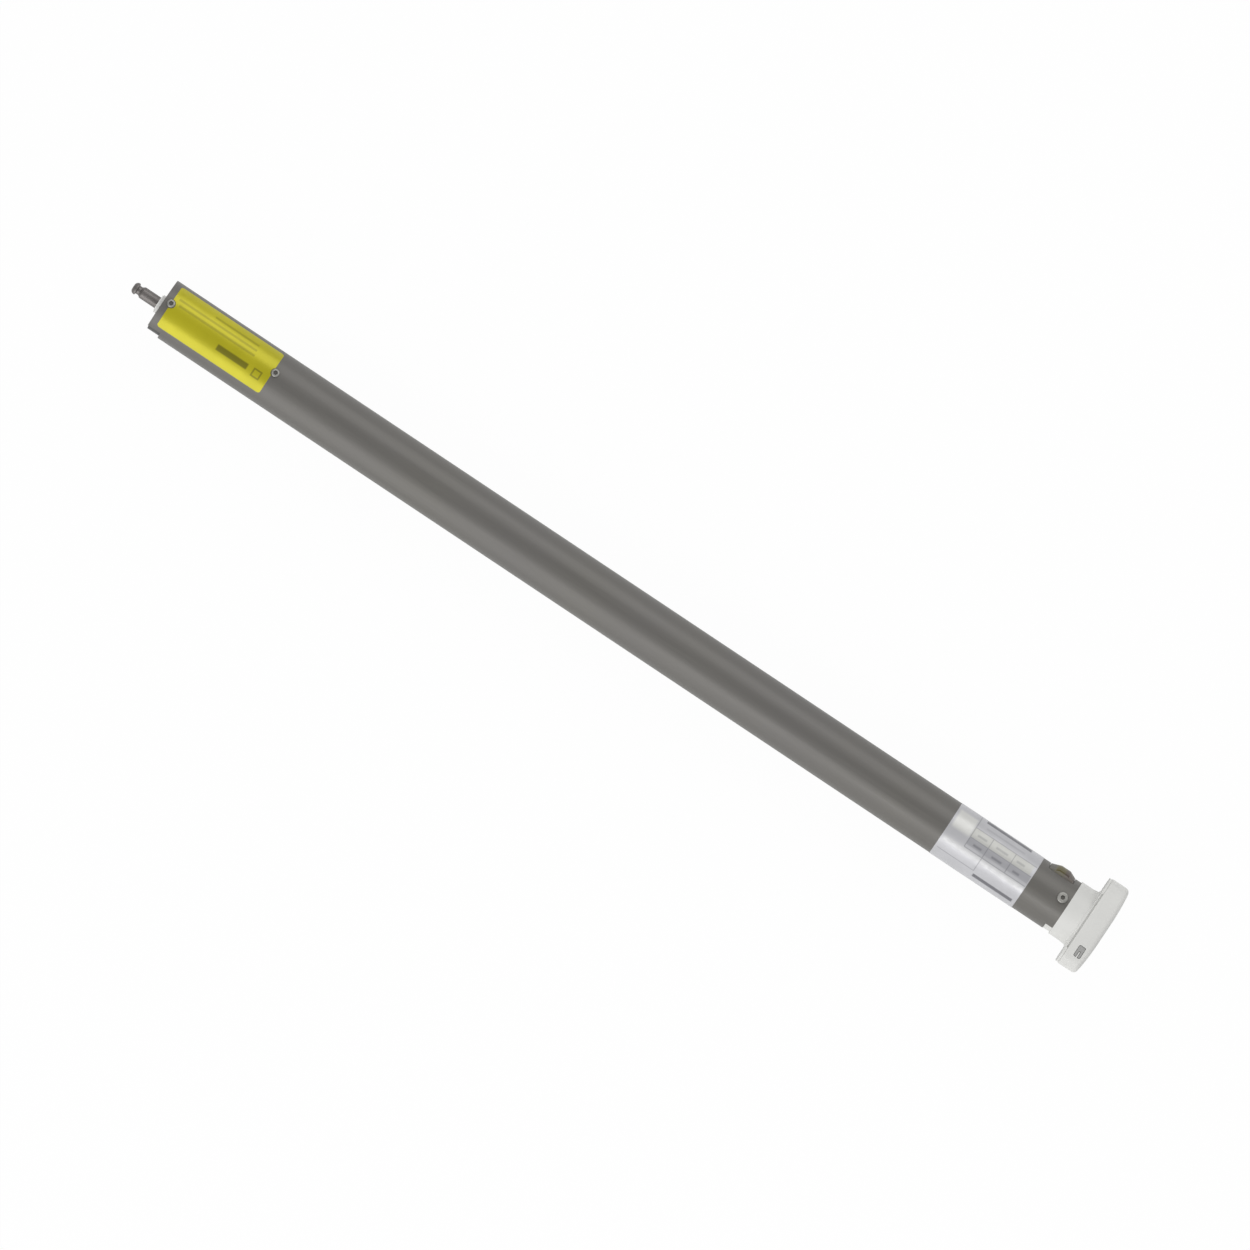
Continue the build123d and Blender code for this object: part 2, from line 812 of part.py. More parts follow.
with BuildPart() as battery_tray:
    round_bar(tray_start_x, tray_end_x, plug_radius)
    round_bar(cells_start_x, cells_end_x, tray_bore, mode=Mode.SUBTRACT)
    block(
        (cells_start_x, -tray_bore, 0),
        (cells_end_x, tray_bore, plug_radius + overrun),
        mode=Mode.SUBTRACT,
    )
    block(
        (tray_start_x - overrun, -plug_radius - overrun, tray_cut),
        (tray_end_x + overrun, plug_radius + overrun, plug_radius + overrun),
        mode=Mode.SUBTRACT,
    )
    block(
        (tray_start_x - overrun, wire_slot_low, -plug_radius - overrun),
        (tray_end_x + overrun, wire_slot_high, wire_z + wire_radius + wire_gap),
        mode=Mode.SUBTRACT,
    )
keep(battery_tray, "battery_tray")

for number in range(cell_count):
    cell_start_x = cells_start_x + link_thickness + number * pitch
    with BuildPart() as battery_cell:
        round_bar(cell_start_x, cell_start_x + cell_length, cell_radius)
        fillet(battery_cell.edges(), overrun / 2)
    keep(battery_cell, f"battery_cell_{number + 1}")

with BuildPart() as cell_links:
    for number in range(cell_count + 1):
        link_x = cells_start_x + number * pitch
        round_bar(link_x, link_x + link_thickness, link_diameter / 2)
keep(cell_links, "cell_links")

# Leads from the head board, down through the spigot and along the tray to a plug at the control board
board_tray_end_x = tray_start_x - tray_gap
plug_x = board_tray_end_x - plug_length / 2
with BuildPart() as battery_wires:
    for y in wire_ys:
        with BuildLine():
            route = FilletPolyline(
                (plug_x + plug_length, y, wire_z),
                (wire_turn_x, y, wire_z),
                (wire_up_x, y, wire_rise_z),
                (head_board_x, y, wire_rise_z),
                radius=wire_bend,
            )
        with BuildSketch(axis_plane(plug_x + plug_length, y, wire_z)):
            Circle(wire_radius)
        sweep(path=route)
    block(
        (plug_x, wire_slot_low + plug_gap, wire_z - wire_radius),
        (plug_x + plug_length, wire_slot_high - plug_gap, wire_z + wire_radius + wire_gap),
    )
keep(battery_wires, "battery_wires")

# Drive train stations, from the shaft end of the tube
cap_start_x = tube_shaft_x + cap_sink
ring_start_x = cap_start_x + cap_length
bearing_end_x = ring_start_x + bearing_length
hub_start_x = bearing_end_x + hub_gap
stage_pitch = carrier_thickness + gear_width + 2 * gear_gap
output_plate_x = hub_start_x + hub_length
mount_start_x = output_plate_x + stage_count * stage_pitch - gear_gap + ring_end_gap
can_start_x = mount_start_x + mount_length
can_end_x = can_start_x + can_length
bell_end_x = can_end_x + bell_length
shaft_radius = shaft_diameter / 2
journal_radius = journal_diameter / 2
journal_x = tube_shaft_x - bush_reach
bush_radius = bush_diameter / 2
tip_x = tube_shaft_x - shaft_reach


def plate_x(stage):
    """Where the carrier plate of a stage starts, counted from the motor."""
    return output_plate_x + (stage_count - stage) * stage_pitch


def planet_x(stage):
    """Where the planets of a stage start."""
    return plate_x(stage) + carrier_thickness + gear_gap


with BuildPart() as end_cap:
    round_bar(cap_start_x, ring_start_x, plug_radius)
    with BuildSketch(axis_plane(cap_start_x)):
        Circle(plug_radius - cap_dish_rim)
        Circle(cap_dish_inner, mode=Mode.SUBTRACT)
    extrude(amount=cap_dish_depth, mode=Mode.SUBTRACT)
    round_bar(cap_start_x, ring_start_x, bush_radius, mode=Mode.SUBTRACT)
    for x, angle in tube_screw_spots():
        low = tube_radius - tube_screw_length - screw_gap
        radial_bar(x, angle, low, tube_radius, tube_screw_shank / 2 + screw_gap, mode=Mode.SUBTRACT)
keep(end_cap, "end_cap")

with BuildPart() as shaft_bush:
    sleeve(tube_shaft_x - bush_reach, ring_start_x, bush_radius, journal_radius + running_gap)
    bush_rim = shaft_bush.faces().sort_by(Axis.X)[0].outer_wire().edges()
    chamfer(bush_rim, bush_chamfer)
keep(shaft_bush, "shaft_bush")

# Output shaft: a snap groove behind its nose, a drive flat on the side away from the button,
# and a wider journal
with BuildPart() as output_shaft:
    with BuildSketch(Plane.XY):
        with BuildLine():
            nose = ThreePointArc(
                (tip_x, shaft_radius * shaft_nose_radius_share),
                (tip_x + shaft_nose * shaft_nose_middle_share, shaft_radius * shaft_nose_swell_share),
                (tip_x + shaft_nose, shaft_radius),
            )
            Polyline(
                nose @ 1,
                (tip_x + shaft_knob, shaft_radius),
                (tip_x + shaft_groove_start, shaft_radius - shaft_groove_depth),
                (tip_x + shaft_groove_end, shaft_radius - shaft_groove_depth),
                (tip_x + shaft_full_place, shaft_radius),
                (journal_x, shaft_radius),
                (journal_x, journal_radius),
                (output_plate_x + carrier_thickness, journal_radius),
                (output_plate_x + carrier_thickness, 0),
                (tip_x, 0),
                nose @ 0,
            )
        make_face()
    revolve(axis=Axis.X)
    block(
        (tip_x - overrun, -shaft_diameter, -shaft_diameter),
        (journal_x, shaft_diameter, -shaft_radius + shaft_flat_depth),
        mode=Mode.SUBTRACT,
    )
keep(output_shaft, "output_shaft")

# Gear sizes follow from the ring gear, which fills the tube
ring_root = plug_radius - ring_wall
gear_module = ring_root / (ring_teeth / 2 + dedendum_share)
planet_teeth = (ring_teeth - sun_teeth) // 2
centre_distance = gear_module * (sun_teeth + planet_teeth) / 2
ring_tip = gear_module * (ring_teeth / 2 - addendum_share)
carrier_radius = ring_tip - carrier_gap
pin_radius = pin_diameter / 2


def gear_outline(teeth, root, tip, thinning):
    """Points round a gear with involute flanks and one tooth on the first direction."""
    pitch_radius = gear_module * teeth / 2
    base = pitch_radius * cos(radians(pressure_angle))
    at_pitch = tan(radians(pressure_angle)) - radians(pressure_angle)

    def half_width(radius):
        turn = acos(min(1, base / radius))
        return pi / (2 * teeth) - thinning / pitch_radius + at_pitch - (tan(turn) - turn)

    foot = max(root, base)
    radii = [foot + (tip - foot) * step / flank_steps for step in range(flank_steps + 1)]
    if root < base:
        radii.insert(0, root)
    flank = [(radius, half_width(radius)) for radius in radii]
    points = []
    for tooth in range(teeth):
        middle = 2 * pi * tooth / teeth
        points += [(r * cos(middle - half), r * sin(middle - half)) for r, half in flank]
        points += [(r * cos(middle + half), r * sin(middle + half)) for r, half in reversed(flank)]
    return points


def outer_outline(teeth):
    """Outline of a sun or planet gear."""
    root = gear_module * (teeth / 2 - dedendum_share)
    tip = gear_module * (teeth / 2 + addendum_share)
    return gear_outline(teeth, root, tip, flank_thinning)


def toothed_bar(start, end, outline, plane, mode=Mode.ADD):
    """A gear's outline drawn out along the axis."""
    with BuildSketch(plane) as profile:
        with BuildLine():
            Polyline(*outline, close=True)
        make_face()
    extrude(profile.sketch, amount=end - start, mode=mode)


with BuildPart() as ring_gear:
    sleeve(ring_start_x, mount_start_x, plug_radius, ring_root)
    teeth_start_x = hub_start_x
    with BuildSketch(axis_plane(teeth_start_x, turn=first_planet_angle)):
        Circle(ring_root + ring_wall / 2)
        with BuildLine():
            Polyline(*gear_outline(ring_teeth, ring_tip, ring_root, -flank_thinning), close=True)
        make_face(mode=Mode.SUBTRACT)
    extrude(amount=mount_start_x - teeth_start_x)
keep(ring_gear, "ring_gear")

# The bearing carries the shaft and stops against the ring gear's teeth
with BuildPart() as output_bearing:
    sleeve(ring_start_x, bearing_end_x, ring_root, journal_radius + running_gap)
    with BuildSketch(axis_plane(ring_start_x)):
        Circle(ring_root - bearing_wall)
        Circle(journal_radius + bearing_wall, mode=Mode.SUBTRACT)
    extrude(amount=bearing_length / 3, mode=Mode.SUBTRACT)
keep(output_bearing, "output_bearing")

planet_angles = [first_planet_angle + 360 * number / planet_count for number in range(planet_count)]


def pin_places():
    """Where the planet pins stand round the axis."""
    return [(centre_distance * cos(radians(a)), centre_distance * sin(radians(a))) for a in planet_angles]


def carrier_plate(stage):
    """A carrier's plate with the pins that hold its planets."""
    round_bar(plate_x(stage), plate_x(stage) + carrier_thickness, carrier_radius)
    for y, z in pin_places():
        round_bar(plate_x(stage) + carrier_thickness, planet_x(stage) + gear_width, pin_radius, y, z)


sun_turn = 0
for stage in range(1, stage_count):
    with BuildPart() as carrier:
        carrier_plate(stage)
        sun_start_x = planet_x(stage + 1) + running_gap
        sun_outline = outer_outline(sun_teeth)
        toothed_bar(sun_start_x, plate_x(stage), sun_outline, axis_plane(sun_start_x, turn=sun_turn))
    keep(carrier, f"carrier_{stage}")

with BuildPart() as output_carrier:
    carrier_plate(stage_count)
    round_bar(hub_start_x, output_plate_x, hub_diameter / 2)
    round_bar(hub_start_x, output_plate_x + carrier_thickness, journal_radius, mode=Mode.SUBTRACT)
keep(output_carrier, "output_carrier")

for stage in range(1, stage_count + 1):
    for number, (angle, place) in enumerate(zip(planet_angles, pin_places())):
        # Each planet is turned until its gaps meet the sun's teeth
        mesh_turn = angle + 180 - 180 / planet_teeth + (angle - sun_turn) * sun_teeth / planet_teeth
        with BuildPart() as planet:
            start = planet_x(stage)
            outline = outer_outline(planet_teeth)
            toothed_bar(start, start + gear_width, outline, axis_plane(start, *place, turn=mesh_turn))
            round_bar(start, start + gear_width, pin_radius + running_gap, *place, mode=Mode.SUBTRACT)
        keep(planet, f"planet_{stage}_{number + 1}")

# Motor mount: a plug between the ring gear and the motor
motor_shaft_radius = motor_shaft_diameter / 2
motor_bush_radius = motor_bush_diameter / 2
can_radius = bore_radius - can_gap
can_bore = can_radius - can_wall
mount_screw_angles = (tube_screw_angle + 90, tube_screw_angle - 90)
mount_screw_spots = [
    (mount_screw_radius * cos(radians(a)), mount_screw_radius * sin(radians(a))) for a in mount_screw_angles
]
mount_seat_x = mount_start_x + mount_screw_head_depth + screw_gap

with BuildPart() as motor_mount:
    sleeve(mount_start_x, can_start_x, plug_radius, mount_bore / 2)
    for x, angle in tube_screw_spots():
        low = tube_radius - tube_screw_length - screw_gap
        radial_bar(x, angle, low, tube_radius, tube_screw_shank / 2 + screw_gap, mode=Mode.SUBTRACT)
    for y, z in mount_screw_spots:
        round_bar(mount_start_x, can_start_x, mount_screw_shank / 2 + screw_gap, y, z, Mode.SUBTRACT)
        round_bar(mount_start_x, mount_seat_x, mount_screw_head / 2 + screw_gap, y, z, Mode.SUBTRACT)
keep(motor_mount, "motor_mount")

with BuildPart() as mount_screws:
    for y, z in mount_screw_spots:
        round_bar(mount_seat_x, can_start_x + mount_screw_bite, mount_screw_shank / 2, y, z)
        round_bar(mount_start_x + screw_gap, mount_seat_x, mount_screw_head / 2, y, z)
keep(mount_screws, "mount_screws")

with BuildPart() as motor_can:
    round_bar(can_start_x, can_end_x, can_radius)
    round_bar(can_start_x + can_front, can_end_x, can_bore, mode=Mode.SUBTRACT)
    round_bar(can_start_x, can_start_x + can_front, motor_bush_radius, mode=Mode.SUBTRACT)
    for y, z in mount_screw_spots:
        hole = mount_screw_shank / 2 + screw_gap
        round_bar(can_start_x, can_start_x + can_front, hole, y, z, Mode.SUBTRACT)
keep(motor_can, "motor_can")

magnet_bore = can_bore - magnet_thickness
rotor_radius = magnet_bore - air_gap
rotor_start_x = can_start_x + rotor_start_gap
rotor_end_x = rotor_start_x + rotor_length
with BuildPart() as motor_magnets:
    for angle in (90, 270):
        wrap(
            can_start_x + magnet_end_gap,
            rotor_end_x + rotor_start_gap - magnet_end_gap,
            magnet_bore,
            can_bore,
            angle,
            magnet_sweep_angle,
        )
keep(motor_magnets, "motor_magnets")

pole_angles = [360 * number / rotor_poles for number in range(rotor_poles)]
shoe_bore = rotor_radius - rotor_shoe
with BuildPart() as rotor_core:
    round_bar(rotor_start_x, rotor_end_x, rotor_hub)
    for angle in pole_angles:
        with BuildSketch(axis_plane(rotor_start_x, turn=angle)):
            with Locations((shoe_bore / 2 + rotor_shoe / 4, 0)):
                Rectangle(shoe_bore + rotor_shoe / 2, rotor_arm)
        extrude(amount=rotor_length)
        wrap(rotor_start_x, rotor_end_x, shoe_bore, rotor_radius, angle, rotor_shoe_sweep_angle)
    round_bar(rotor_start_x, rotor_end_x, motor_shaft_radius, mode=Mode.SUBTRACT)
keep(rotor_core, "rotor_core")

with BuildPart() as rotor_windings:
    winding_start_x = rotor_start_x - winding_overhang
    winding_end_x = rotor_end_x + winding_overhang
    sleeve(winding_start_x, winding_end_x, shoe_bore - winding_gap, rotor_hub + winding_gap)
    for angle in pole_angles:
        with BuildSketch(axis_plane(winding_start_x, turn=angle)):
            with Locations((rotor_radius / 2, 0)):
                Rectangle(rotor_radius, rotor_arm + 2 * winding_gap)
        extrude(amount=winding_end_x - winding_start_x, mode=Mode.SUBTRACT)
keep(rotor_windings, "rotor_windings")

commutator_start_x = winding_end_x + commutator_gap
commutator_end_x = commutator_start_x + commutator_length
with BuildPart() as commutator:
    sleeve(commutator_start_x, commutator_end_x, commutator_diameter / 2, motor_shaft_radius)
keep(commutator, "commutator")

brush_low = commutator_diameter / 2 + brush_gap
brush_x = (commutator_start_x + commutator_end_x) / 2
with BuildPart() as motor_brushes:
    for side in (-1, 1):
        y_ends = sorted((side * brush_low, side * (brush_low + brush_length)))
        block(
            (brush_x - brush_width / 2, y_ends[0], -brush_width / 2),
            (brush_x + brush_width / 2, y_ends[1], brush_width / 2),
        )
keep(motor_brushes, "motor_brushes")

# End bell: closes the can, holds the brushes and the encoder board
encoder_magnet_x = bell_end_x + encoder_gap
encoder_board_x = encoder_magnet_x + encoder_magnet_length + encoder_board_gap
encoder_posts = ((0, encoder_post_radius), (0, -encoder_post_radius))
holder_low = brush_low + holder_wall
holder_high = brush_low + brush_length + holder_wall
holder_half = brush_width / 2 + holder_wall
with BuildPart() as motor_end_bell:
    round_bar(can_end_x, bell_end_x, can_radius)
    round_bar(can_end_x - bell_rim_depth, can_end_x, can_bore)
    inner_bell = can_bore - bell_rim
    round_bar(can_end_x - bell_rim_depth, can_end_x + bell_rim, inner_bell, mode=Mode.SUBTRACT)
    for side in (-1, 1):
        y_ends = sorted((side * holder_low, side * holder_high))
        block(
            (brush_x - holder_half, y_ends[0], -holder_half),
            (can_end_x + bell_rim, y_ends[1], holder_half),
        )
        y_ends = sorted((side * brush_low, side * (brush_low + brush_length)))
        block(
            (brush_x - brush_width / 2, y_ends[0], -brush_width / 2),
            (brush_x + brush_width / 2, y_ends[1], brush_width / 2),
            mode=Mode.SUBTRACT,
        )
    round_bar(can_end_x, bell_end_x, motor_bush_radius, mode=Mode.SUBTRACT)
    for y, z in encoder_posts:
        round_bar(bell_end_x, encoder_board_x, encoder_post / 2, y, z)
keep(motor_end_bell, "motor_end_bell")

with BuildPart() as motor_bushes:
    bush_bore = motor_shaft_radius + running_gap
    sleeve(can_start_x, can_start_x + motor_bush_length, motor_bush_radius, bush_bore)
    sleeve(bell_end_x - motor_bush_length, bell_end_x, motor_bush_radius, motor_shaft_radius + running_gap)
keep(motor_bushes, "motor_bushes")

with BuildPart() as damper_ring:
    damper_x = (can_end_x + bell_end_x) / 2
    sleeve(damper_x - damper_width / 2, damper_x + damper_width / 2, plug_radius, can_radius)
keep(damper_ring, "damper_ring")

pinion_start_x = planet_x(1) + running_gap
with BuildPart() as motor_pinion:
    pinion_plane = axis_plane(pinion_start_x, turn=sun_turn)
    toothed_bar(pinion_start_x, mount_start_x, outer_outline(sun_teeth), pinion_plane)
    round_bar(pinion_start_x, mount_start_x, motor_shaft_radius, mode=Mode.SUBTRACT)
keep(motor_pinion, "motor_pinion")

with BuildPart() as rotor_shaft:
    round_bar(pinion_start_x, encoder_magnet_x + encoder_magnet_length, motor_shaft_radius)
keep(rotor_shaft, "rotor_shaft")

with BuildPart() as encoder_magnet:
    magnet_end_x = encoder_magnet_x + encoder_magnet_length
    sleeve(encoder_magnet_x, magnet_end_x, encoder_magnet_diameter / 2, motor_shaft_radius)
keep(encoder_magnet, "encoder_magnet")

motor_wire_spots = ((-motor_wire_y, motor_wire_z), (motor_wire_y, motor_wire_z))
with BuildPart() as encoder_board:
    round_bar(encoder_board_x, encoder_board_x + board_thickness, plug_radius)
    for y, z in motor_wire_spots:
        hole = wire_radius + wire_gap
        round_bar(encoder_board_x, encoder_board_x + board_thickness, hole, y, z, Mode.SUBTRACT)
    chip_x = encoder_board_x + board_thickness
    block(
        (chip_x, -encoder_chip / 2, -encoder_chip / 2),
        (chip_x + encoder_chip_height, encoder_chip / 2, encoder_chip / 2),
    )
keep(encoder_board, "encoder_board")

# Control board: a tray with a round end wall at each end, and the board on the tray's edges
board_tray_start_x = chip_x + encoder_chip_height + tray_gap
board_tray_bore = plug_radius - board_tray_wall
main_board_low_z = main_board_z
main_board_high_z = main_board_z + main_board_thickness
board_start_x = board_tray_start_x + board_tray_end + board_margin
board_end_x = board_tray_end_x - board_tray_end - board_margin
with BuildPart() as board_tray:
    round_bar(board_tray_start_x, board_tray_end_x, plug_radius)
    round_bar(
        board_tray_start_x + board_tray_end,
        board_tray_end_x - board_tray_end,
        board_tray_bore,
        mode=Mode.SUBTRACT,
    )
    block(
        (board_tray_start_x + board_tray_end, -plug_radius, main_board_low_z),
        (board_tray_end_x - board_tray_end, plug_radius, plug_radius),
        mode=Mode.SUBTRACT,
    )
    for y, z in motor_wire_spots:
        hole = wire_radius + wire_gap
        round_bar(board_tray_start_x, board_tray_start_x + board_tray_end, hole, y, z, Mode.SUBTRACT)
    block(
        (board_tray_end_x - board_tray_end, wire_slot_low, -plug_radius - overrun),
        (board_tray_end_x, wire_slot_high, wire_z + wire_radius + 2 * wire_gap),
        mode=Mode.SUBTRACT,
    )
keep(board_tray, "board_tray")

board_half = sqrt(plug_radius**2 - main_board_z**2) - board_rest
with BuildPart() as main_board:
    block((board_start_x, -board_half, main_board_low_z), (board_end_x, board_half, main_board_high_z))
keep(main_board, "main_board")

# Parts on the board, as shares of its length and width
board_length = board_end_x - board_start_x
chip_rows_shares = (
    # start, length, side, width, height
    (0.04, 0.045, -0.55, 0.50, 0.22),
    (0.12, 0.060, -0.10, 0.75, 0.12),
    (0.24, 0.040, 0.45, 0.45, 0.10),
    (0.33, 0.080, -0.30, 0.80, 0.11),
    (0.47, 0.055, 0.35, 0.60, 0.14),
    (0.78, 0.070, 0.00, 0.90, 0.10),
    (0.93, 0.050, 0.35, 0.60, 0.40),
)
capacitor_start_share = 0.60
capacitor_length_share = 0.11
capacitor_radius_share = 0.38
with BuildPart() as board_parts:
    for start_share, length_share, side_share, width_share, height_share in chip_rows_shares:
        low_x = board_start_x + start_share * board_length
        half = width_share * board_half / 2
        middle_y = side_share * (board_half - half)
        block(
            (low_x, middle_y - half, main_board_high_z),
            (
                low_x + length_share * board_length,
                middle_y + half,
                main_board_high_z + height_share * board_half,
            ),
        )
    capacitor_radius = capacitor_radius_share * board_half
    low_x = board_start_x + capacitor_start_share * board_length
    high_x = low_x + capacitor_length_share * board_length
    round_bar(low_x, high_x, capacitor_radius, z=main_board_high_z + capacitor_radius)
keep(board_parts, "board_parts")

# Leads from the end bell, through the encoder board, up to the control board's underside
with BuildPart() as motor_wires:
    for y, z in motor_wire_spots:
        turn_x = board_start_x + motor_wire_run
        with BuildLine():
            route = FilletPolyline(
                (bell_end_x, y, z), (turn_x, y, z), (turn_x, y, main_board_low_z), radius=motor_wire_bend
            )
        with BuildSketch(axis_plane(bell_end_x, y, z)):
            Circle(wire_radius)
        sweep(path=route)
keep(motor_wires, "motor_wires")

os.makedirs("parts", exist_ok=True)
for piece in pieces:
    export_step(piece, f"parts/{piece.label}.step")
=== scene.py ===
import bpy
from mathutils import Matrix, Vector


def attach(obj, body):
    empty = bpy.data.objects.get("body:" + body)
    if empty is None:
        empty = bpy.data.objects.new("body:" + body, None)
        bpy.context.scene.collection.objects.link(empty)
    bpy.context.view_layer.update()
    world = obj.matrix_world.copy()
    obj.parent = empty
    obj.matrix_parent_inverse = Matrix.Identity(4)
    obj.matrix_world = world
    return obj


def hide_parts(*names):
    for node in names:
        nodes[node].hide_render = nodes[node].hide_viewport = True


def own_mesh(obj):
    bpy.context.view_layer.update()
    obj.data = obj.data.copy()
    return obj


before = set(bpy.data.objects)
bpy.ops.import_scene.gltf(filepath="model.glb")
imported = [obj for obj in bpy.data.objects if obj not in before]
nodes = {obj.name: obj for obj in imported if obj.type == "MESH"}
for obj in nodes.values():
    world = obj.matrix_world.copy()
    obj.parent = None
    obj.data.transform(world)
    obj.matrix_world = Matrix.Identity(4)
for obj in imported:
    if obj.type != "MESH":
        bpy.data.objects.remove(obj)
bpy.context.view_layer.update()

# Stations of the motor in metres, along x, which is 0 at the head plate's outer face
TUBE_RADIUS = 0.014
SHAFT_END = -0.5376
HEAD_END = -0.0221
YELLOW_START = SHAFT_END + 0.0036
MOTOR_MIDDLE = (-0.27, 0, 0)

# Where noise starts to change a value, and where it has changed it in full
NOISE_LOW, NOISE_HIGH = 0.3, 0.7
CLOUD_LOW, CLOUD_HIGH = 0.35, 0.65


def srgb(r, g, b):
    """Linear colour from 0 to 255 display values."""
    out = []
    for v in (r, g, b):
        v /= 255
        out.append(v / 12.92 if v <= 0.04045 else ((v + 0.055) / 1.055) ** 2.4)
    return (*out, 1.0)


def tones(colour, spread):
    """A darker and a lighter tone of one colour."""
    return [tuple(min(1, v * k) for v in colour[:3]) + (1,) for k in (1 - spread, 1 + spread)]


class Tree:
    """Small helper round one material's node tree."""

    def __init__(self, name, rough, metallic=0.0):
        self.mat = bpy.data.materials.new(name)
        self.mat.use_nodes = True
        self.nt = self.mat.node_tree
        self.bsdf = self.nt.nodes["Principled BSDF"]
        self.bsdf.inputs["Roughness"].default_value = rough
        self.bsdf.inputs["Metallic"].default_value = metallic
        self.coord = self.nt.nodes.new("ShaderNodeTexCoord").outputs["Object"]

    def link(self, a, b):
        self.nt.links.new(a, b)

    def set(self, socket, value):
        """Link an output, or set a plain value."""
        if hasattr(value, "node"):
            self.link(value, socket)
        else:
            socket.default_value = value

    def math(self, op, a, b=0.0, clamp=False):
        n = self.nt.nodes.new("ShaderNodeMath")
        n.operation = op
        n.use_clamp = clamp
        self.set(n.inputs[0], a)
        self.set(n.inputs[1], b)
        return n.outputs[0]

    def mix(self, share, a, b):
        """Colour a, with a share of colour b."""
        n = self.nt.nodes.new("ShaderNodeMix")
        n.data_type = "RGBA"
        self.set(n.inputs[0], share)
        self.set(n.inputs[6], a)
        self.set(n.inputs[7], b)
        return n.outputs[2]

    def stretch(self, scale):
        n = self.nt.nodes.new("ShaderNodeMapping")
        n.inputs["Scale"].default_value = scale
        self.link(self.coord, n.inputs["Vector"])
        return n.outputs[0]

    def noise(self, scale, detail):
        n = self.nt.nodes.new("ShaderNodeTexNoise")
        n.inputs["Scale"].default_value = scale
        n.inputs["Detail"].default_value = detail
        self.link(self.coord, n.inputs["Vector"])
        return n.outputs["Fac"]

    def streaks(self, scale, detail=4):
        """Noise that is drawn out along the axes with a low scale."""
        n = self.nt.nodes.new("ShaderNodeTexNoise")
        n.inputs["Scale"].default_value = 1.0
        n.inputs["Detail"].default_value = detail
        n.inputs["Roughness"].default_value = 0.6
        self.link(self.stretch(scale), n.inputs["Vector"])
        return n.outputs["Fac"]

    def ramp(self, value, low, high):
        """0 below low, 1 above high."""
        n = self.nt.nodes.new("ShaderNodeValToRGB")
        stops = ((low, (0, 0, 0, 1)), (high, (1, 1, 1, 1)))
        for stop, (place, shade) in zip(n.color_ramp.elements, stops):
            stop.position = place
            stop.color = shade
        self.link(value, n.inputs[0])
        return n.outputs[0]

    def blend(self, noise, a, b, low=NOISE_LOW, high=NOISE_HIGH):
        """Colour a where the noise is low, b where it is high."""
        return self.mix(self.ramp(noise, low, high), a, b)

    def range(self, value, a, b, c, d):
        """c up to a, d from b on, and even between them."""
        n = self.nt.nodes.new("ShaderNodeMapRange")
        self.link(value, n.inputs[0])
        for i, v in enumerate((a, b, c, d)):
            n.inputs[i + 1].default_value = v
        return n.outputs[0]

    def roughness(self, noise, smooth, rough):
        self.link(self.range(noise, NOISE_LOW, NOISE_HIGH, smooth, rough), self.bsdf.inputs["Roughness"])

    def bump(self, height, strength, distance):
        n = self.nt.nodes.new("ShaderNodeBump")
        n.inputs["Strength"].default_value = strength
        n.inputs["Distance"].default_value = distance
        self.link(height, n.inputs["Height"])
        self.link(n.outputs[0], self.bsdf.inputs["Normal"])

    def colour(self, value):
        self.link(value, self.bsdf.inputs["Base Color"])

    def xyz(self):
        n = self.nt.nodes.new("ShaderNodeSeparateXYZ")
        self.link(self.coord, n.inputs[0])
        return n.outputs

    def unrolled(self):
        """x along the tube, and metres round it from the top, positive towards the latch's side."""
        x, y, z = self.xyz()
        return x, self.math("MULTIPLY", self.math("ARCTAN2", y, z), TUBE_RADIUS)

    def band(self, value, low, high, soft=0.0):
        """1 between two values of a coordinate."""
        if soft:
            up = self.range(value, low - soft, low + soft, 0, 1)
            down = self.range(value, high - soft, high + soft, 1, 0)
        else:
            up = self.math("GREATER_THAN", value, low)
            down = self.math("LESS_THAN", value, high)
        return self.math("MULTIPLY", up, down)

    def patch(self, x, s, x_span, s_span):
        """1 inside a rectangle of the unrolled surface; a span is low, high and how soft its ends are."""
        return self.math("MULTIPLY", self.band(x, *x_span), self.band(s, *s_span))

    def either(self, *masks):
        out = masks[0]
        for mask in masks[1:]:
            out = self.math("MAXIMUM", out, mask)
        return out

    def ink(self, mask, share, under, colour):
        """A mark over what lies under it, with a share of the ink's colour."""
        return self.mix(self.math("MULTIPLY", mask, share), under, colour)


def moulded(name, colour, rough, grain=2200, spread=0.05, bump=0.25):
    """Moulded plastic: faint cloudiness and a fine spark-eroded grain."""
    t = Tree(name, rough)
    t.colour(t.blend(t.noise(90, 4), *tones(colour, spread), CLOUD_LOW, CLOUD_HIGH))
    fine = t.noise(grain, 2)
    t.roughness(fine, rough - 0.05, rough + 0.07)
    t.bump(fine, bump, 0.00003)
    return t.mat


def metal(name, colour, rough, scale, spread=0.12, metallic=1.0):
    """Drawn or turned metal: long fine scratches along or round the axis."""
    t = Tree(name, rough, metallic)
    streak = t.streaks(scale)
    t.colour(t.blend(streak, *tones(colour, spread)))
    t.roughness(streak, rough - 0.06, rough + 0.08)
    t.bump(streak, 0.25, 0.00002)
    return t.mat


def tube_paint():
    """Warm grey satin with a faint draw grain along its length."""
    t = Tree("tube_paint", 0.44, 0.25)
    grain = t.streaks((28, 700, 700), 5)
    drawn = t.blend(grain, srgb(100, 98, 94), srgb(107, 105, 100))
    t.colour(t.blend(t.noise(14, 3), drawn, srgb(103, 101, 98), CLOUD_LOW, CLOUD_HIGH))
    t.roughness(grain, 0.42, 0.50)
    t.bump(t.noise(3200, 2), 0.12, 0.00002)
    return t.mat


